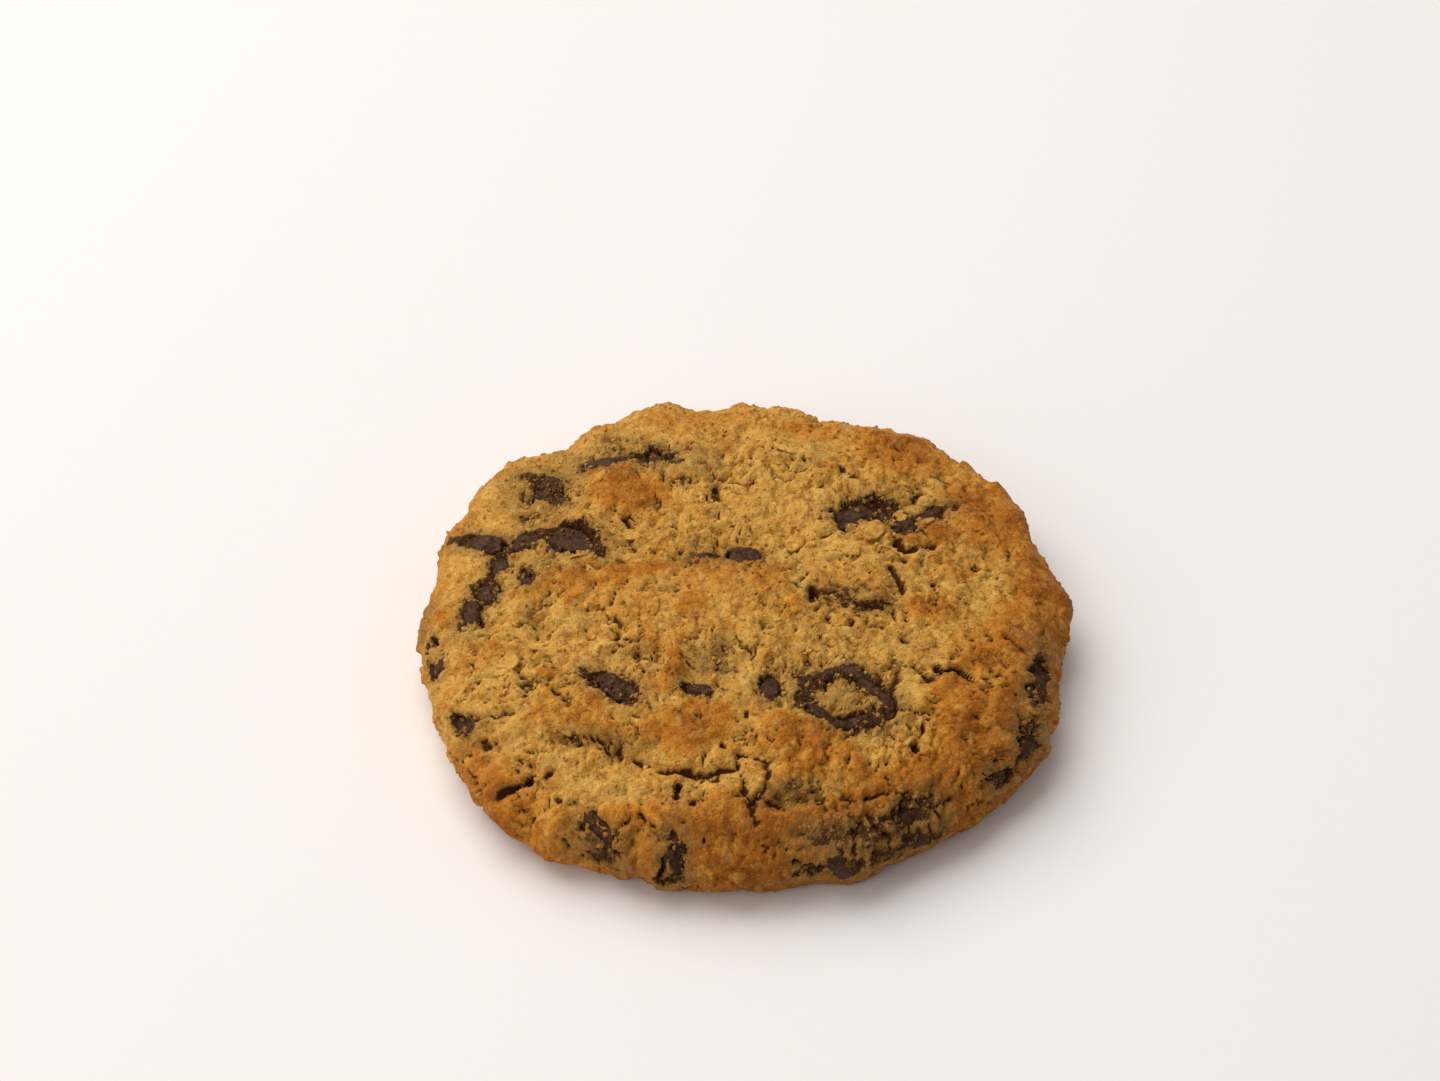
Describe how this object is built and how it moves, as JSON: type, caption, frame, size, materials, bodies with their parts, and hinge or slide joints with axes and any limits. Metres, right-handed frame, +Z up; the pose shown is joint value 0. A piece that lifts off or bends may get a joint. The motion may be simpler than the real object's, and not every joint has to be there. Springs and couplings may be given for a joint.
{
  "type": "oatmeal chocolate cookie",
  "caption": "Thick round baked cookie of rolled-oat dough with an uneven, cracked top and rim, a flat underside and lumps of dark chocolate set in it.",
  "frame": {"origin": "middle of the cookie's outline, on the plane of its flat underside", "axes": "+Z up out of the top, +X along the slightly longer width, -Y to the front, the side that faces a viewer"},
  "size_m": [0.0949, 0.0928, 0.0198],
  "materials": {
    "dough": "matte baked crust, uneven and crumbly",
    "chocolate": "dull satin dark chocolate"
  },
  "bodies": {
    "root": {"cookie_dough": "dough", "chocolate_centre_chip": "chocolate", "chocolate_finger_chip": "chocolate", "chocolate_front_chip": "chocolate", "chocolate_front_left_block": "chocolate", "chocolate_front_right_block": "chocolate", "chocolate_front_right_lump": "chocolate", "chocolate_front_streak": "chocolate", "chocolate_left_arc": "chocolate", "chocolate_left_block": "chocolate", "chocolate_left_chip": "chocolate", "chocolate_left_hollow": "chocolate", "chocolate_left_rim_chip": "chocolate", "chocolate_left_shoulder": "chocolate", "chocolate_left_strip": "chocolate", "chocolate_left_wedge": "chocolate", "chocolate_lobe_inner": "chocolate", "chocolate_lobe_lower": "chocolate", "chocolate_lobe_outer": "chocolate", "chocolate_lower_left_block": "chocolate", "chocolate_middle_block": "chocolate", "chocolate_middle_chip": "chocolate", "chocolate_right_bar": "chocolate", "chocolate_right_chip": "chocolate", "chocolate_right_lump": "chocolate", "chocolate_ring": "chocolate", "chocolate_upper_left_slab": "chocolate", "chocolate_upper_right_block": "chocolate", "chocolate_upper_right_strip": "chocolate", "chocolate_upper_right_wedge": "chocolate"}
  },
  "joints": []
}
